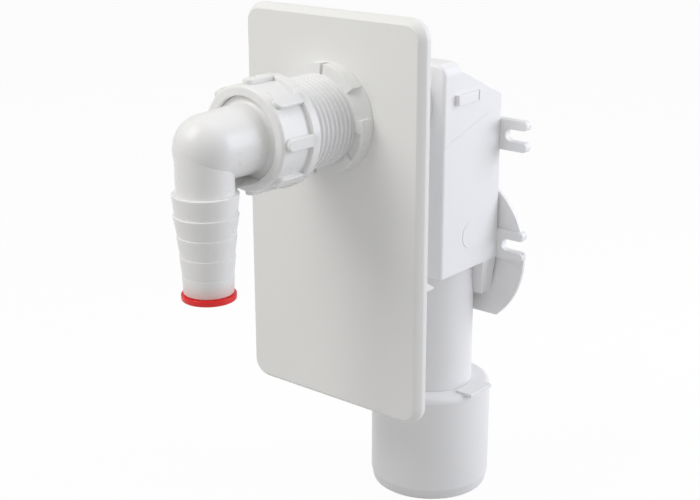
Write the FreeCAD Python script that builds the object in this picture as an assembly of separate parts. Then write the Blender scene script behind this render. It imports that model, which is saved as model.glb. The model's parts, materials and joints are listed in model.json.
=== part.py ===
import FreeCAD, Part
import math
import os

from FreeCAD import Vector

# Concealed trap for a washing machine hose: a flat water-seal box behind a cover plate, with a
# hose elbow in front of the wall and a waste spigot below. Millimetres, +X right, +Y into the
# wall, +Z up. The origin is on the spigot's axis, at the foot of its straight wall.

# Waste spigot, a push-in end for a DN50 socket
spigot_radius = 25.0
spigot_wall = 1.8
spigot_height = 41.6            # straight wall and shoulder together
lead_in_height = 4.4            # chamfered end below the straight wall
lead_in_depth = 1.0
shoulder_round = 2.6
shoulder_wall = 2.0
tab_width = 15.0                # flat pull tab on the shoulder
tab_thickness = 1.5
tab_overhang = 0.9
tab_root = 0.6                  # how far the tab sinks into the shoulder

# Outlet pipe between the box and the spigot
pipe_radius = 17.0
pipe_wall = 2.0
pipe_foot = 12.0                # height of the pipe's lower end inside the spigot
pipe_cap = 5.0                  # part under the box that is cut flush with the box's back
push_fit = 0.3
seal_height = 8.0
seal_fit = 0.1

# Trap box
box_width = 44.0
box_front = 24.9                # in front of the outlet axis
box_back = 13.6                 # behind the outlet axis
box_bottom = 96.0
box_height = 84.2
box_wall = 2.0
box_round = 4.5                 # long edges of the hood
box_edge = 1.5                  # edges of the front face
hood_depth = 10.4               # level hood over the inlet, from the front face
hood_step = 3.4                 # from the hood down to the sloping roof
roof_drop = 16.3                # from the hood down to the roof's back edge
gusset_height = 15.3            # web under each side of the box
gusset_depth = 9.6
gusset_foot = 5.7
gusset_lean = 3.0
gusset_wall = 2.0
clip_length = 14.8              # wedge on each side of the box
clip_height = 3.9
clip_front = 1.9
clip_tail = 0.8
clip_setback = 7.2              # from the front face
clip_drop = 12.3                # from the hood down to the wedge

# Water path inside the box
weir_behind = 19.5              # from the front face to the weir
weir_wall = 1.6
weir_height = 46.0              # above the floor
dip_behind = 10.0               # from the front face to the dip wall
dip_wall = 1.6
dip_gap = 8.0                   # under the dip wall
floor_rise = 18.0               # degrees, slope of the inlet chamber's floor
floor_drop = 28.7               # from the hood to that floor, at the dip wall
insert_fit = 0.15

# Inlet neck with a G1 thread, left as a plain cylinder of the thread's outer size
inlet_drop = 15.4               # from the hood down to the neck's axis
neck_radius = 16.62
neck_bore = 13.3
neck_length = 77.3              # from the front of the box

# Back cover with the wall lugs
cover_wall = 2.0
cover_inset = 1.3               # cover's edge inside the outline of the box
disc_radius = 34.4
disc_rise = 0.6                 # disc's centre above the underside of the box
disc_wall = 1.4
disc_setback = 1.2              # behind the cover's front
disc_cut = 26.4                 # from the disc's centre down to its straight edge
rim_depth = 2.0                 # frame that locates the cover in the box
rim_wall = 1.5
lug_reach = 12.3                # beyond the box's side
lug_root = 10.0                 # overlap with the cover, inside the box's side
lug_height = 12.4
lug_wall = 3.4                  # stands the box off the wall, level with the back of the pipe
lug_slot = 5.0
lug_slot_depth = 9.9
lug_round = 1.6
lug_heights = (5.9, 51.5)       # slot centres above the underside of the box

# Cover plate
plate_width = 83.0
plate_height = 150.0
plate_depth = 5.0
plate_wall = 2.0
plate_corner = 7.5
plate_edge = 2.3
plate_setback = 65.4            # plate's front face in front of the outlet axis
plate_below_inlet = 36.8        # plate's centre under the inlet's axis
plate_fit = 0.4
collar_wall = 2.5               # ring round the hole on the plate's back
tongue_length = 5.5
tongue_height = 6.0
tongue_wall = 2.0
tongue_tip = 0.7
tongue_drop = 19.9              # under the plate's centre

# Castellated ring nut that holds the plate
ring_radius = 20.4
ring_height = 6.0
ring_floor = 2.0                # left under the pockets and the slots
ring_fit = 0.15
castle_count = 2                # the pattern comes once in each half turn
pocket_start = -40.0            # pocket behind a thin outer wall
pocket_angle = 32.5
pocket_rim = 0.8
ramp_start = 6.8                # slope from the bore's edge down to the plate
ramp_angle = 33.2
ramp_lip = 0.3
ramp_foot = 0.4
slot_start = 83.0               # narrow slot between two long teeth
slot_angle = 4.0

# Union nut
nut_radius = 18.4
nut_rib_radius = 20.0
nut_collar = 3.8
nut_rib_count = 8
nut_rib_width = 4.4
nut_rib_setback = 1.5           # rib's end behind the front face
nut_lip = 2.6
nut_mouth = 14.2
nut_bevel = 1.2
thread_fit = 0.3
thread_grip = 9.4               # length of neck inside the nut

# Flat gasket and elbow flange, clamped by the union nut
gasket_wall = 2.8
gasket_hole = 12.6
flange_wall = 2.5
flange_clear = 0.7              # between the flange's edge and the nut's bore

# Hose elbow with a barbed tail
elbow_reach = 26.2              # from the neck's end to the tail's axis
elbow_radius = 12.1             # arm in front of the nut
elbow_bore = 9.8
flare_radius = 13.8             # arm where it meets its flange
flare_length = 6.5
dome_radius = 11.6              # round corner, level with the front of the tail
corner_rise = 4.0               # top of the tail's bore above the inlet's axis
tail_radius = 9.9
tail_bore = 7.0
tail_length = 49.6              # from the inlet's axis to the open end
barb_top = 14.8                 # first barb under the inlet's axis
barb_pitch = 7.1
barb_rims = (11.4, 11.15, 10.2, 9.5, 8.75)
barb_feet = (10.5, 9.85, 9.2, 8.75, 8.6)
tail_lip = 0.5

# Blanking plug in the tail
plug_flange_radius = 9.45
plug_flange_wall = 2.1
plug_stem = 8.0
plug_wall = 1.2
plug_fit = 0.35
plug_edge = 0.5

same_place = 1e-6               # two places nearer than this are one

x_axis = Vector(1, 0, 0)
y_axis = Vector(0, 1, 0)
z_axis = Vector(0, 0, 1)

# Places that several pieces share
box_top = box_bottom + box_height
box_floor = box_bottom + box_wall
half_box = box_width / 2
half_cavity = half_box - box_wall
front_face = -box_front
inner_front = front_face + box_wall
hood_back = front_face + hood_depth
roof_slope = math.atan2(roof_drop - hood_step, box_back - hood_back)
cover_back = box_back + cover_wall
lug_back = box_back + lug_wall
lug_tip = half_box + lug_reach
inlet_height = box_top - inlet_drop
plate_front = -plate_setback
plate_back = plate_front + plate_depth
plate_centre = inlet_height - plate_below_inlet
neck_end = front_face - neck_length
nut_back = neck_end + thread_grip
flange_back = neck_end - gasket_wall
flange_front = flange_back - flange_wall
nut_front = flange_front - nut_lip
tail_axis = neck_end - elbow_reach
dome_centre = tail_axis + dome_radius - tail_radius
tail_end = inlet_height - tail_length
nut_bore = neck_radius + thread_fit
flange_radius = nut_bore - flange_clear
weir_face = front_face + weir_behind
dip_face = front_face + dip_behind


def round_z(radius, low, high, y=0.0):
    return Part.makeCylinder(radius, high - low, Vector(0, y, low), z_axis)


def round_inlet(radius, front, back):
    return Part.makeCylinder(radius, back - front, Vector(0, front, inlet_height), y_axis)


def block(x_span, y_span, z_span):
    corner = Vector(x_span[0], y_span[0], z_span[0])
    return Part.makeBox(x_span[1] - x_span[0], y_span[1] - y_span[0], z_span[1] - z_span[0], corner)


def prism(points, direction):
    wire = Part.makePolygon(points + points[:1])
    return Part.Face(wire).extrude(direction)


def turned(points, centre, axis):
    wire = Part.makePolygon(points + points[:1])
    return Part.Face(wire).revolve(centre, axis, 360)


def edges_where(shape, test):
    return [edge for edge in shape.Edges if test(edge.CenterOfMass)]


def about_inlet(shape, degrees):
    copy = shape.copy()
    copy.rotate(Vector(0, 0, inlet_height), y_axis, -degrees)
    return copy


def mirrored(shape):
    return shape.mirror(Vector(0, 0, 0), x_axis)


# Part of a turn round the inlet's axis, from a section of radii and depths; angles in degrees,
# anticlockwise as seen from the front
def inlet_sector(section, start, width):
    corners = [Vector(radius, depth, inlet_height) for radius, depth in section]
    face = Part.Face(Part.makePolygon(corners + corners[:1]))
    sector = face.revolve(Vector(0, 0, inlet_height), Vector(0, -1, 0), width)
    return about_inlet(sector, start)


def outlet_sleeve():
    foot = -lead_in_height
    inner = spigot_radius - spigot_wall
    hole = pipe_radius + push_fit
    outline = [
        Vector(spigot_radius - lead_in_depth, 0, foot),
        Vector(spigot_radius, 0, 0),
        Vector(spigot_radius, 0, spigot_height),
        Vector(hole, 0, spigot_height),
        Vector(hole, 0, spigot_height - shoulder_wall),
        Vector(inner, 0, spigot_height - shoulder_wall),
        Vector(inner, 0, foot),
    ]
    sleeve = turned(outline, Vector(0, 0, 0), z_axis)
    top_edges = edges_where(sleeve, lambda c: abs(c.z - spigot_height) < same_place)
    outer_rim = max(top_edges, key=lambda edge: edge.Length)
    sleeve = sleeve.makeFillet(shoulder_round, [outer_rim])
    tab_low = spigot_height - tab_root
    tab = block(
        (hole + push_fit, spigot_radius + tab_overhang),
        (-tab_width / 2, tab_width / 2),
        (tab_low, tab_low + tab_thickness),
    )
    return sleeve.fuse(tab).removeSplitter()


def sleeve_seal():
    top = spigot_height - shoulder_wall
    outer = spigot_radius - spigot_wall - seal_fit
    ring = round_z(outer, top - seal_height, top)
    return ring.cut(round_z(pipe_radius + seal_fit, top - seal_height, top))


# Height of the sloping roof at a depth, and of its underside when an inset is given
def roof_at(y, inset=0.0):
    outside = box_top - hood_step - (y - hood_back) * math.tan(roof_slope)
    return outside - inset / math.cos(roof_slope)


# Box with its level hood and sloping roof, shrunk by an inset, across the whole width
def box_solid(half_width, inset, back, low):
    hood_top = box_top - inset
    hood_end = hood_back - inset
    points = [
        Vector(-half_width, front_face + inset, low),
        Vector(-half_width, front_face + inset, hood_top),
        Vector(-half_width, hood_end, hood_top),
        Vector(-half_width, hood_end, roof_at(hood_end, inset)),
        Vector(-half_width, back, roof_at(back, inset)),
        Vector(-half_width, back, low),
    ]
    solid = prism(points, Vector(2 * half_width, 0, 0))
    hood_sides = edges_where(
        solid,
        lambda c: abs(abs(c.x) - half_width) < same_place and abs(c.z - hood_top) < same_place,
    )
    return solid.makeFillet(max(box_round - inset, box_edge), hood_sides)


# The same outline between two depths
def box_slice(half_width, inset, front, back, low):
    depth = block((-half_width, half_width), (front, back), (low, box_top))
    return box_solid(half_width, inset, back, low).common(depth)


# Leaning block between the pipe and the side of the box, shrunk by an inset
def gusset_solid(inset):
    inner = pipe_radius - 2 * pipe_wall

    def rectangle(outer, depth, height):
        corners = [
            Vector(inner, box_back - depth, height),
            Vector(outer, box_back - depth, height),
            Vector(outer, box_back, height),
            Vector(inner, box_back, height),
        ]
        return Part.makePolygon(corners + corners[:1])

    top = rectangle(half_box - inset, gusset_depth - inset, box_bottom + box_wall / 2)
    low = box_bottom - gusset_height + inset
    foot = rectangle(half_box - gusset_lean - inset, gusset_foot - inset, low)
    return Part.makeLoft([foot, top], True, True)


# Web that carries the side wall of the box down to the disc, hollow behind
def gusset():
    return gusset_solid(0.0).cut(gusset_solid(gusset_wall))


def side_clip():
    front = front_face + clip_setback
    low = box_top - clip_drop - clip_height
    inside = half_box - box_wall / 2
    points = [
        Vector(inside, front, low),
        Vector(half_box + clip_front, front, low),
        Vector(half_box + clip_tail, front + clip_length, low),
        Vector(inside, front + clip_length, low),
    ]
    return prism(points, Vector(0, 0, clip_height))


def trap_body():
    shell = box_solid(half_box, 0.0, box_back, box_bottom)
    front_edges = edges_where(
        shell,
        lambda c: abs(c.y - front_face) < same_place and c.z > box_floor,
    )
    shell = shell.makeFillet(box_edge, front_edges)
    neck = round_inlet(neck_radius, neck_end, inner_front)
    pipe = round_z(pipe_radius, pipe_foot, box_bottom - pipe_cap)
    pipe_top = round_z(pipe_radius, box_bottom - pipe_cap, box_floor)
    flush = block((-half_box, half_box), (-pipe_radius, box_back), (pipe_foot, box_floor))
    ribs = [gusset(), side_clip()]
    ribs += [mirrored(rib) for rib in ribs]
    body = shell.fuse([neck, pipe, pipe_top.common(flush)] + ribs)

    cavity = box_solid(half_cavity, box_wall, cover_back, box_floor)
    bore = pipe_radius - pipe_wall
    drop = round_z(bore, pipe_foot, box_bottom - pipe_cap - pipe_wall)
    throat = round_z(bore, box_bottom - pipe_cap - pipe_wall, box_bottom)
    throat_side = block((-bore, bore), (-bore, box_back - box_wall), (pipe_foot, box_floor))
    mouth = round_z(bore, box_bottom, box_floor)
    mouth_side = block(
        (-bore, bore),
        (weir_face + weir_wall, box_back - box_wall),
        (box_bottom, box_floor),
    )
    hollows = [
        cavity,
        round_inlet(neck_bore, neck_end, inner_front),
        drop,
        throat.common(throat_side),
        mouth.common(mouth_side),
    ]
    weir = block(
        (-half_cavity, half_cavity),
        (weir_face, weir_face + weir_wall),
        (box_floor, box_floor + weir_height),
    )
    return body.cut(hollows).fuse(weir).removeSplitter()


# Insert that parts the inlet chamber from the seal: a sloping floor and a wall that dips into it
def dip_baffle():
    half_width = half_cavity - insert_fit
    rise = math.tan(math.radians(floor_rise))
    floor_top = box_top - floor_drop + dip_wall
    back = box_back - rim_depth - insert_fit
    back_top = floor_top + (back - dip_face) * rise
    thick = dip_wall / math.cos(math.radians(floor_rise))
    corner = floor_top + dip_wall * rise - thick
    points = [
        Vector(-half_width, dip_face, box_floor + dip_gap),
        Vector(-half_width, dip_face, floor_top),
        Vector(-half_width, back, back_top),
        Vector(-half_width, back, back_top - thick),
        Vector(-half_width, dip_face + dip_wall, corner),
        Vector(-half_width, dip_face + dip_wall, box_floor + dip_gap),
    ]
    insert = prism(points, Vector(2 * half_width, 0, 0))
    return insert.common(box_solid(half_width, box_wall + insert_fit, back, box_floor))


# Fork on the back cover for a wall screw, and the slot in it, which is open to the side
def wall_lug(height):
    low = box_bottom + height - lug_height / 2
    lug = block((half_box - lug_root, lug_tip), (box_back, lug_back), (low, low + lug_height))
    lug = lug.cut(lug_opening(height))
    tips = [
        edge for edge in lug.Edges
        if edge.BoundBox.XMin > lug_tip - same_place and edge.BoundBox.YLength > lug_wall / 2
    ]
    return lug.makeFillet(lug_round, tips)


def lug_opening(height):
    centre = box_bottom + height
    slot_end = lug_tip - lug_slot_depth + lug_slot / 2
    slot = block(
        (slot_end, max(lug_tip, disc_radius)),
        (box_back, lug_back),
        (centre - lug_slot / 2, centre + lug_slot / 2),
    )
    return slot.fuse(Part.makeCylinder(lug_slot / 2, lug_wall, Vector(slot_end, box_back, centre), y_axis))


def back_cover():
    panel = box_slice(half_box - cover_inset, cover_inset, box_back, cover_back, box_bottom)
    disc_centre = box_bottom + disc_rise
    disc_front = box_back + disc_setback
    disc = Part.makeCylinder(disc_radius, disc_wall, Vector(0, disc_front, disc_centre), y_axis)
    below = block(
        (-disc_radius, disc_radius),
        (disc_front, disc_front + disc_wall),
        (disc_centre - disc_radius, disc_centre - disc_cut),
    )
    lugs = [wall_lug(height) for height in lug_heights]
    lugs += [mirrored(lug) for lug in lugs]
    openings = [lug_opening(height) for height in lug_heights]
    openings += [mirrored(opening) for opening in openings]
    cover = panel.fuse([disc.cut(below)] + lugs).cut(openings)

    rim_side = half_cavity - insert_fit
    rim_inset = box_wall + insert_fit
    rim_low = box_floor + insert_fit
    rim_front = box_back - rim_depth
    rim = box_slice(rim_side, rim_inset, rim_front, box_back, rim_low)
    window = box_slice(rim_side - rim_wall, rim_inset + rim_wall, rim_front, box_back, rim_low + rim_wall)
    pipe_notch = round_z(pipe_radius + push_fit, 0, box_bottom - pipe_cap + push_fit)
    return cover.fuse(rim.cut(window)).cut(pipe_notch).removeSplitter()


def rounded_plate(width, height, corner, front, back):
    slab = block(
        (-width / 2, width / 2),
        (front, back),
        (plate_centre - height / 2, plate_centre + height / 2),
    )
    corners = [edge for edge in slab.Edges if edge.BoundBox.YLength > (back - front) / 2]
    return slab.makeFillet(corner, corners)


# Pointed tongue behind the plate's rim
def plate_tongue():
    side = plate_width / 2 - plate_wall / 2
    top = plate_centre - tongue_drop + tongue_height / 2
    root = plate_front + plate_wall
    tip = plate_back + tongue_length
    points = [
        Vector(side - tongue_wall, root, top),
        Vector(side - tongue_wall, tip, top - (tongue_height - tongue_tip)),
        Vector(side - tongue_wall, tip, top - tongue_height),
        Vector(side - tongue_wall, root, top - tongue_height),
    ]
    return prism(points, Vector(tongue_wall, 0, 0))


def cover_plate():
    plate = rounded_plate(plate_width, plate_height, plate_corner, plate_front, plate_back)
    front_edges = [edge for edge in plate.Edges if edge.BoundBox.YMax < plate_front + same_place]
    plate = plate.makeFillet(plate_edge, front_edges)
    inset = 2 * plate_wall
    hollow = rounded_plate(
        plate_width - inset,
        plate_height - inset,
        plate_corner - plate_wall,
        plate_front + plate_wall,
        plate_back,
    )
    hole = neck_radius + plate_fit
    collar = round_inlet(hole + collar_wall, plate_front + plate_wall, plate_back)
    tongues = [plate_tongue(), mirrored(plate_tongue())]
    plate = plate.cut(hollow).fuse([collar] + tongues)
    return plate.cut(round_inlet(hole, plate_front, plate_back)).removeSplitter()


def ring_nut():
    bore = neck_radius + ring_fit
    front = plate_front - ring_height
    floor = plate_front - ring_floor
    rim = ring_radius - pocket_rim
    pocket = [(bore, front), (rim, front), (rim, floor), (bore, floor)]
    ramp = [(bore + ramp_lip, front), (ring_radius, front), (ring_radius, plate_front - ramp_foot)]
    slot = [(bore, front), (ring_radius, front), (ring_radius, floor), (bore, floor)]
    cuts = []
    for index in range(castle_count):
        turn = 360.0 * index / castle_count
        cuts.append(inlet_sector(pocket, pocket_start + turn, pocket_angle))
        cuts.append(inlet_sector(ramp, ramp_start + turn, ramp_angle))
        cuts.append(inlet_sector(slot, slot_start + turn, slot_angle))
    ring = round_inlet(ring_radius, front, plate_front).cut(round_inlet(bore, front, plate_front))
    return ring.cut(cuts).removeSplitter()


def union_nut():
    collar_front = nut_back - nut_collar
    outline = [
        Vector(nut_bore, nut_back, inlet_height),
        Vector(nut_rib_radius, nut_back, inlet_height),
        Vector(nut_rib_radius, collar_front, inlet_height),
        Vector(nut_radius, collar_front, inlet_height),
        Vector(nut_radius, nut_front + nut_bevel, inlet_height),
        Vector(nut_radius - nut_bevel, nut_front, inlet_height),
        Vector(nut_mouth, nut_front, inlet_height),
        Vector(nut_mouth, flange_front, inlet_height),
        Vector(nut_bore, flange_front, inlet_height),
    ]
    nut = turned(outline, Vector(0, 0, inlet_height), y_axis)
    half_rib = nut_rib_width / 2
    rib_front = nut_front + nut_rib_setback + half_rib
    middle = (nut_bore + nut_radius) / 2
    bar = block(
        (middle, nut_rib_radius),
        (rib_front, collar_front),
        (inlet_height - half_rib, inlet_height + half_rib),
    )
    start = Vector(middle, rib_front, inlet_height)
    rounded_end = Part.makeCylinder(half_rib, nut_rib_radius - middle, start, x_axis)
    rib = bar.fuse(rounded_end).common(round_inlet(nut_rib_radius, nut_front, nut_back))
    ribs = [about_inlet(rib, 360.0 * index / nut_rib_count) for index in range(nut_rib_count)]
    return nut.fuse(ribs).removeSplitter()


def elbow_gasket():
    ring = round_inlet(flange_radius, flange_back, neck_end)
    return ring.cut(round_inlet(gasket_hole, flange_back, neck_end))


def elbow_outside():
    flange = round_inlet(flange_radius, flange_front, flange_back)
    corner = Vector(0, dome_centre, inlet_height)
    arm_length = flange_front - flare_length - dome_centre
    arm = Part.makeCone(dome_radius, elbow_radius, arm_length, corner, y_axis)
    flare = Part.makeCone(elbow_radius, flare_radius, flare_length, corner + y_axis * arm_length, y_axis)
    dome = Part.makeSphere(dome_radius, corner)
    tail_points = [
        Vector(0, tail_axis, inlet_height),
        Vector(tail_radius, tail_axis, inlet_height),
        Vector(tail_radius, tail_axis, inlet_height - barb_top),
    ]
    for index, (rim, foot) in enumerate(zip(barb_rims, barb_feet)):
        top = inlet_height - barb_top - index * barb_pitch
        last = index == len(barb_rims) - 1
        bottom = tail_end + tail_lip if last else top - barb_pitch
        tail_points += [Vector(rim, tail_axis, top), Vector(foot, tail_axis, bottom)]
    tail_points += [
        Vector(barb_feet[-1] - tail_lip, tail_axis, tail_end),
        Vector(0, tail_axis, tail_end),
    ]
    tail = turned(tail_points, Vector(0, tail_axis, 0), z_axis)
    return flange.fuse([arm, flare, dome, tail])


def hose_elbow():
    run = flange_back - tail_axis
    corner_bore = tail_bore + dome_radius - tail_radius
    start = Vector(0, tail_axis, inlet_height)
    arm_bore = Part.makeCone(corner_bore, elbow_bore, run, start, y_axis)
    drop = round_z(tail_bore, tail_end, inlet_height + corner_rise, tail_axis)
    return elbow_outside().cut([arm_bore, drop]).removeSplitter()


def blanking_plug():
    stem = tail_bore - plug_fit
    low = tail_end - plug_flange_wall
    outline = [
        Vector(stem - plug_wall, tail_axis, low),
        Vector(plug_flange_radius - plug_edge, tail_axis, low),
        Vector(plug_flange_radius, tail_axis, low + plug_edge),
        Vector(plug_flange_radius, tail_axis, tail_end),
        Vector(stem, tail_axis, tail_end),
        Vector(stem, tail_axis, tail_end + plug_stem - plug_edge),
        Vector(stem - plug_edge, tail_axis, tail_end + plug_stem),
        Vector(0, tail_axis, tail_end + plug_stem),
        Vector(0, tail_axis, tail_end + plug_stem - plug_wall),
        Vector(stem - plug_wall, tail_axis, tail_end + plug_stem - plug_wall),
    ]
    return turned(outline, Vector(0, tail_axis, 0), z_axis)


pieces = {
    "cover_plate": cover_plate,
    "trap_body": trap_body,
    "back_cover": back_cover,
    "dip_baffle": dip_baffle,
    "ring_nut": ring_nut,
    "union_nut": union_nut,
    "elbow_gasket": elbow_gasket,
    "hose_elbow": hose_elbow,
    "blanking_plug": blanking_plug,
    "outlet_sleeve": outlet_sleeve,
    "sleeve_seal": sleeve_seal,
}

os.makedirs("parts", exist_ok=True)
for name, make in pieces.items():
    shape = make()
    box = shape.BoundBox
    print(name, len(shape.Solids), shape.isValid(), round(shape.Volume), box)
    shape.exportStep("parts/" + name + ".step")
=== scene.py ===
import json
import math

import bmesh
import bpy
from mathutils import Matrix, Vector

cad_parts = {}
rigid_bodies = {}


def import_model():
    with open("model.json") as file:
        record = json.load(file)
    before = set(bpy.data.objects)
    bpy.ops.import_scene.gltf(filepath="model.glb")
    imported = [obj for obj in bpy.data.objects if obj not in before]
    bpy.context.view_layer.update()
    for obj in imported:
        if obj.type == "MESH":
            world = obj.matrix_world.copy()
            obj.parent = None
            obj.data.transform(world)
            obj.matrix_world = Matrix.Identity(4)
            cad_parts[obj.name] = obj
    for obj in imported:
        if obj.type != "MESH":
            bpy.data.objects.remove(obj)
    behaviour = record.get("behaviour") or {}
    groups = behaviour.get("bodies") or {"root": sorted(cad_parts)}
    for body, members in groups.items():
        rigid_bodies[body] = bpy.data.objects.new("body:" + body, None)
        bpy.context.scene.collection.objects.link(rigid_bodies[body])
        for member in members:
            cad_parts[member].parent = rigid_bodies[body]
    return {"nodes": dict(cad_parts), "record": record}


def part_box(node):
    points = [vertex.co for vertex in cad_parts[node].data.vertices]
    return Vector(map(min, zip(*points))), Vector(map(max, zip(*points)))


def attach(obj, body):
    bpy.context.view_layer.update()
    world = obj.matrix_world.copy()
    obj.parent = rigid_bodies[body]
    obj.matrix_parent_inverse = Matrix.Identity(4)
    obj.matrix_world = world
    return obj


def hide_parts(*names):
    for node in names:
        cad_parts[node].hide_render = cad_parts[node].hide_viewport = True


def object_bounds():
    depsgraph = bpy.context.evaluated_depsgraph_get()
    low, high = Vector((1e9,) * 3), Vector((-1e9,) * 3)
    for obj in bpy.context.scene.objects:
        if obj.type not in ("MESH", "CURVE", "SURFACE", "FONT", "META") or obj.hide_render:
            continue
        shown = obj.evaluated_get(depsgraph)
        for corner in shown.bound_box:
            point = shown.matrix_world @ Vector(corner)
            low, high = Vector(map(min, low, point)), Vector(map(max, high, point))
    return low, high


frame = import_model()
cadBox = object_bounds()        # the bounds of the pieces as built; the floor goes at their lowest point
mm = 0.001
weld = 0.002 * mm           # points this close are one point
near = 0.01 * mm            # slack when a rim or a plane is looked up
planeSlack = 1e-7           # slack of a cut, in metres

inletJoint = next(j for j in frame["record"]["behaviour"]["joints"] if j["name"] == "union_unscrew")
neckEnd = inletJoint["pos_m"][1]        # front end of the inlet neck
inletHeight = inletJoint["pos_m"][2]    # height of the neck's axis
plugLow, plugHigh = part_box("blanking_plug")
tailAxis = (plugLow.y + plugHigh.y) / 2
nutFront, nutBack = (corner.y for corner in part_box("union_nut"))
upAxis, inletAxis = Vector((0, 0, 1)), Vector((0, 1, 0))
inletCentre, tailCentre = Vector((0, 0, inletHeight)), Vector((0, tailAxis, 0))
print("frame loaded, neck end at", round(neckEnd / mm, 1), "mm")


# colours are written as sRGB hex and turned to linear here
def linear(hexCode):
    def channel(part):
        value = int(part, 16) / 255
        return value / 12.92 if value <= 0.04045 else ((value + 0.055) / 1.055) ** 2.4
    return tuple(channel(hexCode[i:i + 2]) for i in (1, 3, 5)) + (1.0,)


# adds a node, sets its properties and sockets, and links what is given as a socket
def addNode(tree, kind, settings=None, **sockets):
    node = tree.nodes.new(kind)
    for name, value in (settings or {}).items():
        setattr(node, name, value)
    for name, value in sockets.items():
        socket = node.inputs[int(name[1:])] if name[1:].isdigit() else node.inputs[name.replace("_", " ")]
        if isinstance(value, bpy.types.NodeSocket):
            tree.links.new(value, socket)
        else:
            socket.default_value = value
    return node


def newMaterial(name):
    material = bpy.data.materials.new(name)
    material.use_nodes = True
    material.node_tree.nodes.clear()
    return material, material.node_tree


# Polypropylene, injection moulded: an even, slightly waxy white. Polished mould halves leave a
# satin gloss with a very fine grain, slow flow shading across a face, and a little light goes in.
def mouldedPolypropylene(name, look):
    material, tree = newMaterial(name)
    coords = addNode(tree, "ShaderNodeTexCoord").outputs["Object"]
    flow = addNode(tree, "ShaderNodeTexNoise", Vector=coords, Scale=1 / (look["flow"] * mm), Detail=2.0)
    tint = addNode(
        tree, "ShaderNodeMix", {"data_type": "RGBA"},
        i0=flow.outputs["Fac"], i6=linear(look["colour"]), i7=linear(look["shade"]),
    )
    colour = tint.outputs[2]
    if "paintedGlow" in look:      # painted glow: the wall near the open end is tinted pink, painted in for the light of the red plug stem that shows through the wall
        height = addNode(tree, "ShaderNodeSeparateXYZ", Vector=coords).outputs["Z"]
        low, high = look["paintedGlowSpan"]
        paintedGlowFade = addNode(
            tree, "ShaderNodeMapRange", {"interpolation_type": "SMOOTHERSTEP"},
            Value=height, From_Min=low, From_Max=high, To_Min=look["paintedGlowStrength"], To_Max=0.0,
        )
        paintedGlow = addNode(
            tree, "ShaderNodeMix", {"data_type": "RGBA"},
            i0=paintedGlowFade.outputs["Result"], i6=colour, i7=linear(look["paintedGlow"]),
        )
        colour = paintedGlow.outputs[2]
    gloss = addNode(tree, "ShaderNodeTexNoise", Vector=coords, Scale=1 / (look["patch"] * mm), Detail=3.0)
    rough = addNode(
        tree, "ShaderNodeMapRange", Value=gloss.outputs["Fac"], From_Min=0.3, From_Max=0.7,
        To_Min=look["rough"][0], To_Max=look["rough"][1],
    )
    grain = addNode(tree, "ShaderNodeTexNoise", Vector=coords, Scale=1 / (look["grain"] * mm), Detail=2.0)
    relief = addNode(
        tree, "ShaderNodeBump", Height=grain.outputs["Fac"], Strength=look["relief"], Distance=0.02 * mm,
    )
    shader = addNode(
        tree, "ShaderNodeBsdfPrincipled", Base_Color=colour, Roughness=rough.outputs["Result"],
        Normal=relief.outputs["Normal"], IOR=1.49, Subsurface_Weight=look["depth"],
        Subsurface_Radius=(1.0, 0.9, 0.85), Subsurface_Scale=1.6 * mm,
    )
    addNode(tree, "ShaderNodeOutputMaterial", Surface=shader.outputs["BSDF"])
    return material


whitePlate = mouldedPolypropylene("mouldedPolypropylenePlate", {
    "colour": "#f2f2f0", "shade": "#eeeeec", "flow": 45.0, "patch": 9.0, "grain": 0.5,
    "rough": (0.42, 0.50), "relief": 0.25, "depth": 0.10,
})
whiteBody = mouldedPolypropylene("mouldedPolypropyleneBody", {
    "colour": "#f3f3f3", "shade": "#efeff0", "flow": 38.0, "patch": 8.0, "grain": 0.5,
    "rough": (0.36, 0.46), "relief": 0.25, "depth": 0.12,
})
fittingLook = {
    "colour": "#f3f3f2", "shade": "#efefee", "flow": 20.0, "patch": 6.0, "grain": 0.45,
    "rough": (0.26, 0.36), "relief": 0.2, "depth": 0.15,
}
whiteFitting = mouldedPolypropylene("mouldedPolypropyleneFitting", fittingLook)
paintedGlowMargin = 1.5 * mm       # the painted glow fades in a little inside the plug's two ends
# the fitting's white with a painted pink glow on the tail around the plug, standing in for light from the red
# stem through the wall
whiteElbowPaintedGlow = mouldedPolypropylene("mouldedPolypropyleneElbowPaintedGlow", {
    **fittingLook, "paintedGlow": "#e6a59c", "paintedGlowStrength": 0.55,
    "paintedGlowSpan": (plugLow.z + paintedGlowMargin, plugHigh.z - paintedGlowMargin),
})


# Polyethylene, injection moulded in red: a deep even colour and a soft waxy gloss
def mouldedPolyethylene(name, look):
    material, tree = newMaterial(name)
    coords = addNode(tree, "ShaderNodeTexCoord").outputs["Object"]
    flow = addNode(tree, "ShaderNodeTexNoise", Vector=coords, Scale=1 / (look["flow"] * mm), Detail=2.0)
    tint = addNode(
        tree, "ShaderNodeMix", {"data_type": "RGBA"},
        i0=flow.outputs["Fac"], i6=linear(look["colour"]), i7=linear(look["shade"]),
    )
    grain = addNode(tree, "ShaderNodeTexNoise", Vector=coords, Scale=1 / (look["grain"] * mm), Detail=2.0)
    relief = addNode(tree, "ShaderNodeBump", Height=grain.outputs["Fac"], Strength=0.2, Distance=0.02 * mm)
    shader = addNode(
        tree, "ShaderNodeBsdfPrincipled", Base_Color=tint.outputs[2], Roughness=look["rough"],
        Normal=relief.outputs["Normal"], IOR=1.51, Subsurface_Weight=0.1, Subsurface_Scale=0.8 * mm,
    )
    addNode(tree, "ShaderNodeOutputMaterial", Surface=shader.outputs["BSDF"])
    return material


redPlug = mouldedPolyethylene("mouldedPolyethyleneRed", {
    "colour": "#f0141b", "shade": "#e61016", "flow": 8.0, "grain": 0.4, "rough": 0.3,
})


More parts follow.
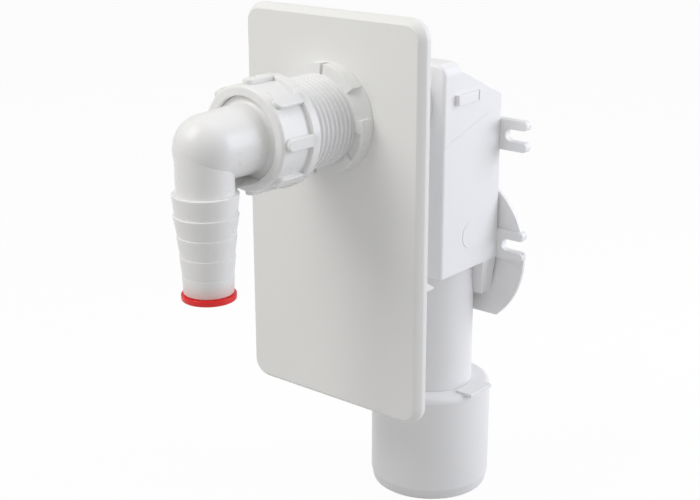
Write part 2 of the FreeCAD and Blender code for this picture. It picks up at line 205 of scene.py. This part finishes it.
# EPDM rubber, press moulded: near black and matt, with a dusty talc bloom
def mouldedRubber(name, look):
    material, tree = newMaterial(name)
    coords = addNode(tree, "ShaderNodeTexCoord").outputs["Object"]
    bloom = addNode(tree, "ShaderNodeTexNoise", Vector=coords, Scale=1 / (look["bloom"] * mm), Detail=4.0)
    tint = addNode(
        tree, "ShaderNodeMix", {"data_type": "RGBA"},
        i0=bloom.outputs["Fac"], i6=linear(look["colour"]), i7=linear(look["dust"]),
    )
    grain = addNode(tree, "ShaderNodeTexNoise", Vector=coords, Scale=1 / (look["grain"] * mm), Detail=2.0)
    relief = addNode(tree, "ShaderNodeBump", Height=grain.outputs["Fac"], Strength=0.4, Distance=0.03 * mm)
    shader = addNode(
        tree, "ShaderNodeBsdfPrincipled", Base_Color=tint.outputs[2], Roughness=0.78,
        Normal=relief.outputs["Normal"], IOR=1.52,
    )
    addNode(tree, "ShaderNodeOutputMaterial", Surface=shader.outputs["BSDF"])
    return material


blackRubber = mouldedRubber("mouldedRubberBlack", {
    "colour": "#1c1c1d", "dust": "#2b2a29", "bloom": 5.0, "grain": 0.3,
})
print("materials made")


# a copy of a node's mesh, merged, with its triangles joined into whole faces again
def mergedCopy(node, flatness=0.3):
    bm = bmesh.new()
    bm.from_mesh(frame["nodes"][node].data)
    bmesh.ops.remove_doubles(bm, verts=bm.verts, dist=weld)
    bmesh.ops.dissolve_limit(
        bm, angle_limit=math.radians(flatness), use_dissolve_boundaries=False,
        verts=bm.verts, edges=bm.edges, delimit=set(),
    )
    return bm


# the vertices among what an operator returns
def vertsOf(geom):
    return [g for g in geom if isinstance(g, bmesh.types.BMVert)]


def middleOf(edge):
    return (edge.verts[0].co + edge.verts[1].co) / 2


def roundOver(bm, edges, width, segments):
    bmesh.ops.bevel(
        bm, geom=edges, offset=width * mm, offset_type="OFFSET", segments=segments, profile=0.5,
        affect="EDGES", clamp_overlap=True, material=-1,
    )


# cuts a mesh at a plane and takes off the side that the normal points to
def cutAway(bm, place, normal):
    bmesh.ops.bisect_plane(
        bm, geom=bm.verts[:] + bm.edges[:] + bm.faces[:], dist=planeSlack,
        plane_co=place, plane_no=normal, clear_outer=True,
    )


# rounds the outside corners of a moulding, where a test on the edge's middle says so
def softenEdges(bm, width, segments=2, angle=30.0, where=None):
    edges = [
        e for e in bm.edges
        if len(e.link_faces) == 2 and e.calc_face_angle_signed(0.0) > math.radians(angle)
        and (where is None or where(middleOf(e)))
    ]
    roundOver(bm, edges, width, segments)


# turns a bmesh into a finished piece on its body
def finishPiece(name, bm, body, material, stands, sharp=32.0, creases=()):
    for face in bm.faces:
        face.smooth = True
    for edge in bm.edges:
        bent = len(edge.link_faces) == 2 and edge.calc_face_angle(0.0) > math.radians(sharp)
        edge.smooth = not bent
    for edge in creases:
        edge.smooth = False
    mesh = bpy.data.meshes.new(name)
    bm.to_mesh(mesh)
    bm.free()
    mesh.materials.append(material)
    piece = bpy.data.objects.new(name, mesh)
    bpy.context.scene.collection.objects.link(piece)
    # flat faces stay flat beside rounded edges
    even = piece.modifiers.new("evenShading", "WEIGHTED_NORMAL")
    even.keep_sharp = True
    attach(piece, body)
    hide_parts(*stands)
    mesh.calc_loop_triangles()
    print(name, "has", len(mesh.loop_triangles), "triangles")
    return piece


def radiusFromInlet(point):
    return math.hypot(point.x, point.z - inletHeight)


# moves a vertex straight towards or away from the inlet's axis
def scaleFromInlet(vert, factor):
    vert.co.x *= factor
    vert.co.z = inletHeight + (vert.co.z - inletHeight) * factor


# spins a closed profile of radii and places along an axis
def turnProfile(profile, axis, centre, steps):
    bm = bmesh.new()
    points = [
        bm.verts.new(centre + Vector((radius * mm, 0, 0)) + axis * place)
        for radius, place in profile
    ]
    outline = [bm.edges.new(pair) for pair in zip(points, points[1:] + points[:1])]
    bmesh.ops.spin(
        bm, geom=points + outline, cent=centre, axis=axis, dvec=(0, 0, 0),
        angle=math.tau, steps=steps, use_merge=True,
    )
    bmesh.ops.remove_doubles(bm, verts=bm.verts, dist=weld)
    bmesh.ops.recalc_face_normals(bm, faces=bm.faces)
    return bm


# rounds the turned corners that lie on the given rims, each a radius and a place
def roundRims(bm, axis, centre, rims, width, segments=3):
    def onRim(vert):
        arm = vert.co - centre
        place = arm.dot(axis)
        radius = (arm - axis * place).length
        return any(abs(place - p) < near and abs(radius - r * mm) < near for r, p in rims)
    edges = [e for e in bm.edges if onRim(e.verts[0]) and onRim(e.verts[1])]
    roundOver(bm, edges, width, segments)


# adds a closed part to a piece's mesh
def joinPart(bm, part):
    mesh = bpy.data.meshes.new("part")
    part.to_mesh(mesh)
    part.free()
    bm.from_mesh(mesh)
    bpy.data.meshes.remove(mesh)


# a block between two corners in millimetres, with rounded edges
def softBlock(low, high, rounding):
    block = bmesh.new()
    bmesh.ops.create_cube(block, size=1.0)
    low, high = Vector(low) * mm, Vector(high) * mm
    bmesh.ops.scale(block, verts=block.verts, vec=high - low)
    bmesh.ops.translate(block, verts=block.verts, vec=(low + high) / 2)
    softenEdges(block, rounding, segments=3)
    return block


# the open edges whose middle passes a test
def openLoop(bm, test):
    return [e for e in bm.edges if e.is_boundary and test(middleOf(e))]


# Union nut: a turned shell with a back collar, and eight round-ended ribs that run into the collar
unionNut = {
    "outer": 18.4, "bevel": 0.8, "mouth": 14.7, "lip": 2.6, "bore": 16.92, "collar": 3.8, "steps": 128,
    "rim": 0.45, "mouthRim": 0.35,
    "ribs": 8, "ribTop": 19.95, "ribFoot": 17.6, "ribWidth": 4.4, "ribSetback": 1.5, "ribEdge": 0.4,
    "ribSteps": 48,
}


# one rib, drawn flat and then stood on the nut's side
def nutRib(look):
    rib = bmesh.new()
    half = look["ribWidth"] / 2 * mm
    tip = nutFront + look["ribSetback"] * mm + half
    bmesh.ops.create_circle(rib, cap_ends=True, segments=look["ribSteps"], radius=half)
    backHalf = [v for v in rib.verts if v.co.y > near]
    bmesh.ops.translate(rib, verts=backHalf, vec=(0, nutBack - look["collar"] * mm - tip, 0))
    raised = bmesh.ops.extrude_face_region(rib, geom=rib.faces[:])["geom"]
    top = vertsOf(raised)
    bmesh.ops.translate(rib, verts=top, vec=(0, 0, (look["ribTop"] - look["ribFoot"]) * mm))
    bmesh.ops.recalc_face_normals(rib, faces=rib.faces)
    topEdges = [e for e in rib.edges if e.verts[0] in top and e.verts[1] in top]
    roundOver(rib, topEdges, look["ribEdge"], 3)
    outwards = Matrix((
        (0, 0, 1, look["ribFoot"] * mm), (0, 1, 0, tip), (-1, 0, 0, inletHeight), (0, 0, 0, 1),
    ))
    bmesh.ops.transform(rib, matrix=outwards, verts=rib.verts)
    return rib


collarFront, flangeFront = nutBack - unionNut["collar"] * mm, nutFront + unionNut["lip"] * mm
nutSide, faceEdge = unionNut["outer"], unionNut["outer"] - unionNut["bevel"]
bevelBack = nutFront + unionNut["bevel"] * mm
bm = turnProfile(
    (
        (unionNut["bore"], nutBack), (unionNut["ribTop"], nutBack), (unionNut["ribTop"], collarFront),
        (nutSide, collarFront), (nutSide, bevelBack), (faceEdge, nutFront),
        (unionNut["mouth"], nutFront), (unionNut["mouth"], flangeFront), (unionNut["bore"], flangeFront),
    ),
    inletAxis, inletCentre, unionNut["steps"],
)
nutRims = [
    (unionNut["ribTop"], nutBack), (unionNut["ribTop"], collarFront),
    (nutSide, bevelBack), (faceEdge, nutFront),
]
roundRims(bm, inletAxis, inletCentre, nutRims, unionNut["rim"])
roundRims(bm, inletAxis, inletCentre, [(unionNut["mouth"], nutFront)], unionNut["mouthRim"])
for index in range(unionNut["ribs"]):
    rib = nutRib(unionNut)
    around = Matrix.Rotation(math.tau * index / unionNut["ribs"], 3, "Y")
    bmesh.ops.rotate(rib, cent=inletCentre, matrix=around, verts=rib.verts)
    joinPart(bm, rib)
finishPiece("unionNut", bm, "union_nut", whiteFitting, ["union_nut"])

# Ring nut: as moulded, with soft edges, its two pockets shallower and its bore down in the thread
ringNut = {
    "edges": 0.3, "floor": 2.0, "raise": 3.1, "pocket": (-40.5, -7.0),      # pocket in degrees
    "cadBore": 16.77, "bore": 15.55, "boreSlack": 0.02,
}
bm = mergedCopy("ring_nut")
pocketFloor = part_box("ring_nut")[1].y - ringNut["floor"] * mm
for vert in bm.verts:
    angle = math.degrees(math.atan2(vert.co.z - inletHeight, vert.co.x)) + 180
    inPocket = any(ringNut["pocket"][0] < angle - start < ringNut["pocket"][1] for start in (0, 180, 360))
    if inPocket and abs(vert.co.y - pocketFloor) < near:
        vert.co.y -= ringNut["raise"] * mm
    if abs(radiusFromInlet(vert.co) - ringNut["cadBore"] * mm) < ringNut["boreSlack"] * mm:
        scaleFromInlet(vert, ringNut["bore"] / ringNut["cadBore"])
softenEdges(bm, ringNut["edges"])
finishPiece("ringNut", bm, "trap", whiteFitting, ["ring_nut"])

# Hose elbow: the round corner as moulded, the arm drawn back to its flange and the tail down barb by barb
hoseElbow = {
    # cuts in front of the nut's face and under the inlet's axis, and the two bores behind them
    "armCut": 5.0, "armBore": 9.8, "tailCut": 13.2, "tailBore": 7.0,
    # radius, place behind the nut's face: a hollow root, a boss in the mouth, the flange
    "arm": (
        (12.0, -0.2), (12.15, 0.4), (12.5, 1.0), (13.2, 1.4), (14.2, 1.6), (14.5, 1.85),
        (14.5, 2.6), (16.2, 2.6),
    ),
    # radius, depth under the inlet's axis
    "tail": (
        (9.9, 14.8), (11.4, 14.8), (10.5, 21.9), (11.15, 21.9), (9.85, 29.0), (10.2, 29.0), (9.2, 36.1),
        (9.5, 36.1), (8.75, 43.2), (8.85, 43.2), (8.6, 49.1), (8.1, 49.6),
    ),
    "wideRims": ((11.4, 14.8), (11.15, 21.9)), "wideRound": 0.3,
    "fineRims": ((10.2, 29.0), (9.5, 36.1)), "fineRound": 0.14, "crease": 13.0,
}


# depths under the inlet's axis, turned to heights
def below(points):
    return [(radius, inletHeight - depth * mm) for radius, depth in points]


# from an axis straight out to a vertex
def spokeTo(vert, axis, centre):
    arm = vert.co - centre
    return arm - axis * arm.dot(axis)


# draws an open ring along radii and places about an axis
def drawRing(bm, ring, axis, centre, profile):
    for radius, place in profile:
        grown = bmesh.ops.extrude_edge_only(bm, edges=ring)["geom"]
        verts = vertsOf(grown)
        for vert in verts:
            vert.co = centre + spokeTo(vert, axis, centre).normalized() * radius * mm + axis * place
        ring = [g for g in grown if isinstance(g, bmesh.types.BMEdge) and all(v in verts for v in g.verts)]


# cuts a moulding across an axis and draws its outer and inner walls on to a new end
def drawEnd(bm, axis, centre, cut, side, outer, bore):
    cutAway(bm, centre - axis * centre.dot(axis) + axis * cut, axis * side)
    halfway = (outer[0][0] + bore) / 2 * mm
    atCut = [e for e in bm.edges if e.is_boundary]
    reach = {e: spokeTo(e.verts[0], axis, centre).length for e in atCut}
    drawRing(bm, [e for e in atCut if reach[e] > halfway], axis, centre, outer)
    drawRing(bm, [e for e in atCut if reach[e] < halfway], axis, centre, [(bore, outer[-1][1])])
    bmesh.ops.bridge_loops(bm, edges=[e for e in bm.edges if e.is_boundary])


bm = mergedCopy("hose_elbow")
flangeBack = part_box("hose_elbow")[1].y
armProfile = [(radius, nutFront + place * mm) for radius, place in hoseElbow["arm"]]
armProfile.append((hoseElbow["arm"][-1][0], flangeBack))
tailCut, armCut = inletHeight - hoseElbow["tailCut"] * mm, nutFront - hoseElbow["armCut"] * mm
drawEnd(bm, inletAxis, inletCentre, armCut, 1, armProfile, hoseElbow["armBore"])
creases = [                     # the mould's own lines on the round corner
    e for e in bm.edges
    if len(e.link_faces) == 2 and e.calc_face_angle(0.0) > math.radians(hoseElbow["crease"])
    and min(v.co.z for v in e.verts) > tailCut and max(v.co.y for v in e.verts) < armCut
]
drawEnd(bm, upAxis, tailCentre, tailCut, -1, below(hoseElbow["tail"]), hoseElbow["tailBore"])
bmesh.ops.recalc_face_normals(bm, faces=bm.faces)
roundRims(bm, upAxis, tailCentre, below(hoseElbow["wideRims"]), hoseElbow["wideRound"])
roundRims(bm, upAxis, tailCentre, below(hoseElbow["fineRims"]), hoseElbow["fineRound"], segments=2)
print("open edges left on the elbow:", sum(e.is_boundary for e in bm.edges))
creases = [e for e in creases if e.is_valid]
finishPiece("hoseElbow", bm, "elbow", whiteElbowPaintedGlow, ["hose_elbow"], creases=creases)

# Blanking plug: a turned cup with a thin flange, open below
blankingPlug = {
    "stem": 6.65, "wall": 1.2, "flange": 9.45, "thick": 2.1, "edge": 0.5, "round": 0.3, "steps": 96,
}
plugTop, plugMid = plugHigh.z, plugLow.z + blankingPlug["thick"] * mm
plugRoof = plugTop - blankingPlug["wall"] * mm
hollow = blankingPlug["stem"] - blankingPlug["wall"]
bm = turnProfile(
    (
        (hollow, plugLow.z), (blankingPlug["flange"], plugLow.z), (blankingPlug["flange"], plugMid),
        (blankingPlug["stem"], plugMid), (blankingPlug["stem"], plugTop), (0, plugTop),
        (0, plugRoof), (hollow, plugRoof),
    ),
    upAxis, tailCentre, blankingPlug["steps"],
)
roundRims(bm, upAxis, tailCentre, [(blankingPlug["flange"], plugLow.z)], blankingPlug["edge"])
plugRims = [(blankingPlug["flange"], plugMid), (blankingPlug["stem"], plugTop), (hollow, plugLow.z)]
roundRims(bm, upAxis, tailCentre, plugRims, blankingPlug["round"])
finishPiece("blankingPlug", bm, "plug", redPlug, ["blanking_plug"])

# Outlet sleeve: turned with a rounded shoulder and a crisp chamfer, and a flat pull tab on the shoulder
outletSleeve = {
    "radius": 25.0, "wall": 1.8, "height": 41.6, "chamfer": (24.0, 4.4), "hole": 17.08, "shoulderWall": 2.0,
    "shoulder": 2.6, "shoulderSteps": 8, "rim": 0.5, "steps": 128,
    "tab": ((18.2, -7.5, 41.0), (25.9, 7.5, 42.5)), "tabRound": 0.25,
}
sleeveTop = outletSleeve["height"] * mm
shoulderLow = sleeveTop - outletSleeve["shoulderWall"] * mm
sleeveEnd, sleeveFoot = outletSleeve["chamfer"][0], -outletSleeve["chamfer"][1] * mm
sleeveSide, sleeveBore = outletSleeve["radius"], outletSleeve["radius"] - outletSleeve["wall"]
bm = turnProfile(
    (
        (sleeveEnd, sleeveFoot), (sleeveSide, 0), (sleeveSide, sleeveTop), (outletSleeve["hole"], sleeveTop),
        (outletSleeve["hole"], shoulderLow), (sleeveBore, shoulderLow), (sleeveBore, sleeveFoot),
    ),
    upAxis, Vector(), outletSleeve["steps"],
)
roundRims(
    bm, upAxis, Vector(), [(sleeveSide, sleeveTop)], outletSleeve["shoulder"], outletSleeve["shoulderSteps"],
)
roundRims(bm, upAxis, Vector(), [(sleeveEnd, sleeveFoot)], outletSleeve["rim"])
joinPart(bm, softBlock(*outletSleeve["tab"], outletSleeve["tabRound"]))
chamferLine = [e for e in bm.edges if all(abs(v.co.z) < near for v in e.verts)]
finishPiece("outletSleeve", bm, "trap", whiteBody, ["outlet_sleeve"], creases=chamferLine)

# Back cover: as moulded, with soft edges
backCover = {"edges": 0.35}
bm = mergedCopy("back_cover")
softenEdges(bm, backCover["edges"])
finishPiece("backCover", bm, "trap", whiteBody, ["back_cover"])

# Trap body: the box keeps its moulded form, and the inlet neck gets its right-hand pipe thread
trapBody = {
    # the plain neck is cut off just in front of the box, and the new one ends a little short of the cut
    "edges": 0.35, "cut": -25.6, "gap": 0.5,
    "boxUnder": 95.9, "boxBack": 13.5, "webFrom": 12.0, "webReach": 1.15,
    "major": 16.62, "depth": 1.15, "pitch": 2.309, "bore": 13.3, "threaded": 62.0, "steps": 72,
    "leadIn": 0.1,              # how far under the root the lead-in starts
    # broad crests with close-rounded edges and narrow roots: along the pitch, up the depth
    "form": (
        (0.0, 0.0), (0.07, 0.0), (0.11, 0.07), (0.26, 0.9), (0.31, 1.0),
        (0.69, 1.0), (0.74, 0.9), (0.89, 0.07), (0.93, 0.0), (1.0, 0.0),
    ),
}


# the neck's thread and bore, open at the back
def threadedNeck(look):
    bm = bmesh.new()
    pitch, depth = look["pitch"] * mm, look["depth"] * mm
    root = look["major"] * mm - depth
    threadEnd = neckEnd + look["threaded"] * mm
    turns = math.ceil(look["threaded"] / look["pitch"]) + 3     # spare turns are cut off at both ends
    crest = [
        bm.verts.new((root + depth * up, neckEnd - pitch * (2 - along), inletHeight))
        for along, up in look["form"]
    ]
    profile = [bm.edges.new(pair) for pair in zip(crest, crest[1:])]
    bmesh.ops.spin(             # one turn of the helix, then copies of it end to end
        bm, geom=crest + profile, cent=(0, 0, inletHeight), axis=(0, 1, 0),
        dvec=(0, pitch / look["steps"], 0), angle=math.tau, steps=look["steps"],
    )
    turn = bm.verts[:] + bm.edges[:] + bm.faces[:]
    for index in range(1, turns):
        copied = bmesh.ops.duplicate(bm, geom=turn)["geom"]
        bmesh.ops.translate(bm, verts=vertsOf(copied), vec=(0, pitch * index, 0))
    bmesh.ops.remove_doubles(bm, verts=bm.verts, dist=weld)
    for place, side in ((neckEnd, -1), (threadEnd, 1)):
        cutAway(bm, (0, place, 0), (0, side, 0))
    for vert in bm.verts:       # 45 degree lead-in at the front end
        limit = root - look["leadIn"] * mm + (vert.co.y - neckEnd)
        radius = radiusFromInlet(vert.co)
        if radius > limit:
            scaleFromInlet(vert, limit / radius)
    back = (look["cut"] - look["gap"]) * mm
    for place, radius in ((neckEnd, look["bore"] * mm), (threadEnd, look["major"] * mm)):
        rim = openLoop(bm, lambda p: abs(p.y - place) < near)
        turned = Matrix.Translation((0, place, inletHeight)) @ Matrix.Rotation(math.pi / 2, 4, "X")
        ring = bmesh.ops.create_circle(bm, segments=look["steps"], radius=radius, matrix=turned)
        edges = list({e for v in ring["verts"] for e in v.link_edges})
        bmesh.ops.bridge_loops(bm, edges=rim + edges)
        wall = bmesh.ops.extrude_edge_only(bm, edges=edges)
        bmesh.ops.translate(bm, verts=vertsOf(wall["geom"]), vec=(0, back - place, 0))
    bmesh.ops.recalc_face_normals(bm, faces=bm.faces)
    return bm


# Marks on the right side of the box: a slanting parting line, an ejector's arc and the bead behind the wedge
sideMarks = {
    "face": 22.0, "proud": 0.16, "width": 0.36,
    "line": ((-24.0, 148.6), (4.2, 157.7)), "lineRound": 0.1,               # ends along y and z
    "arc": (-5.7, 110.0), "arcRadius": 5.0, "arcSteps": 32,                 # centre along y and z
    "bead": ((21.8, -3.35, 164.0), (23.2, -2.45, 167.9)), "beadRound": 0.2,
}


def slantingLine(look):
    (startY, startZ), (endY, endZ) = look["line"]
    length, half = math.hypot(endY - startY, endZ - startZ), look["width"] / 2
    proud = look["proud"]
    bar = softBlock((-proud, -length / 2, -half), (proud, length / 2, half), look["lineRound"])
    slope = Matrix.Rotation(math.atan2(endZ - startZ, endY - startY), 3, "X")
    bmesh.ops.rotate(bar, cent=(0, 0, 0), matrix=slope, verts=bar.verts)
    middle = Vector((look["face"], (startY + endY) / 2, (startZ + endZ) / 2)) * mm
    bmesh.ops.translate(bar, verts=bar.verts, vec=middle)
    return bar


def ejectorArc(look):
    ridge = bmesh.new()
    centre = Vector((look["face"], *look["arc"])) * mm
    proud, radius, half = look["proud"], look["arcRadius"], look["width"] / 2
    low, high = radius - half, radius + half
    corners = ((-proud, low), (proud, low), (proud, high), (-proud, high))
    section = [ridge.verts.new(centre + Vector((out, 0, height)) * mm) for out, height in corners]
    end = ridge.faces.new(section)
    bmesh.ops.spin(
        ridge, geom=[end], cent=centre, axis=(1, 0, 0), dvec=(0, 0, 0), angle=math.pi, steps=look["arcSteps"],
    )
    bmesh.ops.recalc_face_normals(ridge, faces=ridge.faces)
    return ridge


bm = mergedCopy("trap_body")
boxUnder, boxBack = trapBody["boxUnder"] * mm, trapBody["boxBack"] * mm
for vert in bm.verts:           # the webs beside the pipe reach back to the disc
    if vert.co.z < boxUnder and abs(vert.co.x) > trapBody["webFrom"] * mm and vert.co.y > boxBack:
        vert.co.y += trapBody["webReach"] * mm
cutAway(bm, (0, trapBody["cut"] * mm, 0), (0, -1, 0))
softenEdges(bm, trapBody["edges"])
joinPart(bm, threadedNeck(trapBody))
between = (trapBody["major"] + trapBody["bore"]) / 2 * mm
for outer in (True, False):
    bmesh.ops.bridge_loops(bm, edges=openLoop(bm, lambda p: (radiusFromInlet(p) > between) == outer))
bmesh.ops.recalc_face_normals(bm, faces=bm.faces)
wedgeBead = softBlock(*sideMarks["bead"], sideMarks["beadRound"])
for mark in (slantingLine(sideMarks), ejectorArc(sideMarks), wedgeBead):
    joinPart(bm, mark)
print("open edges left on the trap body:", sum(e.is_boundary for e in bm.edges))
finishPiece("trapBody", bm, "trap", whiteBody, ["trap_body"])

# Cover plate: the rounding of its front edge is eased towards a flat chamfer
coverPlate = {
    "edges": 0.3, "behind": 2.76,           # edges further back than this are softened
    "edge": 2.3, "edgeSlack": 0.03, "corner": 7.5, "ease": 0.65, "deepen": 1.3,
}
plateLow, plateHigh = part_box("cover_plate")
plateCentre = (plateLow + plateHigh) / 2
bm = mergedCopy("cover_plate")
softenEdges(bm, coverPlate["edges"], where=lambda p: p.y > plateLow.y + coverPlate["behind"] * mm)
plateEdge, plateCorner = coverPlate["edge"] * mm, coverPlate["corner"] * mm
straight = plateHigh - plateCentre - Vector((plateCorner, 0, plateCorner))      # to where the corners start
for vert in bm.verts:
    outwards = Vector((
        max(abs(vert.co.x - plateCentre.x) - straight.x, 0), 0,
        max(abs(vert.co.z - plateCentre.z) - straight.z, 0),
    ))
    inset = plateCorner - outwards.length
    depth = vert.co.y - plateLow.y
    offArc = abs(math.hypot(plateEdge - inset, plateEdge - depth) - plateEdge)
    if outwards.length == 0 or offArc > coverPlate["edgeSlack"] * mm or depth > plateEdge:
        continue
    # nought at the front face, one at the side
    along = math.atan2(plateEdge - inset, plateEdge - depth) / (math.pi / 2)
    flatInset, flatDepth = plateEdge * (1 - along), plateEdge * along
    outwards.normalize()
    shift = outwards * (inset - flatInset) * coverPlate["ease"]
    vert.co.x += shift.x * math.copysign(1, vert.co.x - plateCentre.x)
    vert.co.z += shift.z * math.copysign(1, vert.co.z - plateCentre.z)
    depth += (flatDepth - depth) * coverPlate["ease"]
    vert.co.y = plateLow.y + depth * coverPlate["deepen"]
finishPiece("coverPlate", bm, "trap", whitePlate, ["cover_plate"])

# Inner pieces: as built, with their materials
innerPieces = {"dip_baffle": whiteBody, "elbow_gasket": blackRubber, "sleeve_seal": blackRubber}
for node, material in innerPieces.items():
    frame["nodes"][node].data.materials.clear()
    frame["nodes"][node].data.materials.append(material)
print("pieces made")


# Stage: a pale floor that shows white to the camera, keeps a soft shadow and throws little light back
stage = {"floor": 6.0, "seen": "#f2f2f2", "thrown": "#c0c0c0", "white": 0.94}
floorMaterial, tree = newMaterial("pale floor")
path = addNode(tree, "ShaderNodeLightPath")
seen = addNode(
    tree, "ShaderNodeMath", {"operation": "MAXIMUM"},
    i0=path.outputs["Is Camera Ray"], i1=path.outputs["Is Glossy Ray"],
)
seenAll = addNode(
    tree, "ShaderNodeMath", {"operation": "MAXIMUM"},
    i0=seen.outputs[0], i1=path.outputs["Is Transmission Ray"],
)
share = addNode(tree, "ShaderNodeMath", {"operation": "MULTIPLY"}, i0=seenAll.outputs[0], i1=stage["white"])
paint = addNode(
    tree, "ShaderNodeMix", {"data_type": "RGBA"},
    i0=seenAll.outputs[0], i6=linear(stage["thrown"]), i7=linear(stage["seen"]),
)
matt = addNode(tree, "ShaderNodeBsdfDiffuse", Color=paint.outputs[2])
white = addNode(tree, "ShaderNodeEmission", Color=(1, 1, 1, 1), Strength=1.0)
both = addNode(tree, "ShaderNodeMixShader", i0=share.outputs[0], i1=matt.outputs[0], i2=white.outputs[0])
addNode(tree, "ShaderNodeOutputMaterial", Surface=both.outputs[0])

bm = bmesh.new()
bmesh.ops.create_grid(bm, x_segments=1, y_segments=1, size=stage["floor"] / 2)
bmesh.ops.translate(bm, verts=bm.verts, vec=(0, 0, cadBox[0][2]))
floorMesh = bpy.data.meshes.new("floor")
bm.to_mesh(floorMesh)
bm.free()
floorMesh.materials.append(floorMaterial)
floor = bpy.data.objects.new("floor", floorMesh)
bpy.context.scene.collection.objects.link(floor)

# World: white to the camera, a plain level of light otherwise
studio = {"room": 0.53, "backdrop": 1.0}
world = bpy.data.worlds.new("studio")
bpy.context.scene.world = world
world.use_nodes = True
tree = world.node_tree
tree.nodes.clear()
path = addNode(tree, "ShaderNodeLightPath")
room = addNode(tree, "ShaderNodeBackground", Color=(1, 1, 1, 1), Strength=studio["room"])
backdrop = addNode(tree, "ShaderNodeBackground", Color=(1, 1, 1, 1), Strength=studio["backdrop"])
both = addNode(
    tree, "ShaderNodeMixShader",
    i0=path.outputs["Is Camera Ray"], i1=room.outputs[0], i2=backdrop.outputs[0],
)
addNode(tree, "ShaderNodeOutputWorld", Surface=both.outputs[0])

# Lamps: place and aim in metres, size of the soft box, power in watts, colour
lampAim = Vector((0, -0.05, 0.13))
lamps = {
    "rightSoftbox": {"place": (0.41, 0.33, 0.30), "size": 0.40, "power": 1.9, "colour": "#f3f5ff"},
    "topSoftbox": {"place": (0.12, 0.02, 0.85), "size": 0.50, "power": 0.5, "colour": "#ffffff"},
    "leftSoftbox": {"place": (-0.27, -0.52, 0.72), "size": 0.45, "power": 2.7, "colour": "#fffdfa"},
}
for name, lamp in lamps.items():
    data = bpy.data.lights.new(name, "AREA")
    data.shape = "SQUARE"
    data.size = lamp["size"]
    data.energy = lamp["power"]
    data.color = linear(lamp["colour"])[:3]
    light = bpy.data.objects.new(name, data)
    light.location = lamp["place"]
    light.rotation_euler = (lampAim - light.location).to_track_quat("-Z", "Y").to_euler()
    bpy.context.scene.collection.objects.link(light)

# Camera: where the photograph was taken from
lens = {
    "place": (0.30632, -0.42342, 0.26845), "yaw": 39.644, "pitch": 18.122, "roll": -0.119,
    "focal": 68.43, "sensor": 36.0, "nearest": 0.01,
}
yaw, pitch, roll = (math.radians(lens[k]) for k in ("yaw", "pitch", "roll"))
ahead = Vector((-math.sin(yaw) * math.cos(pitch), math.cos(yaw) * math.cos(pitch), -math.sin(pitch)))
level = Vector((math.cos(yaw), math.sin(yaw), 0))
upright = level.cross(ahead)
right = level * math.cos(roll) + upright * math.sin(roll)
up = upright * math.cos(roll) - level * math.sin(roll)
cameraData = bpy.data.cameras.new("camera")
cameraData.lens = lens["focal"]
cameraData.sensor_width = lens["sensor"]
cameraData.clip_start = lens["nearest"]
camera = bpy.data.objects.new("camera", cameraData)
facing = Matrix((right, up, -ahead)).transposed().to_4x4()
camera.matrix_world = Matrix.Translation(lens["place"]) @ facing
bpy.context.scene.collection.objects.link(camera)
bpy.context.scene.camera = camera
bpy.context.scene.view_settings.view_transform = "Standard"
print("stage, lamps and camera set")
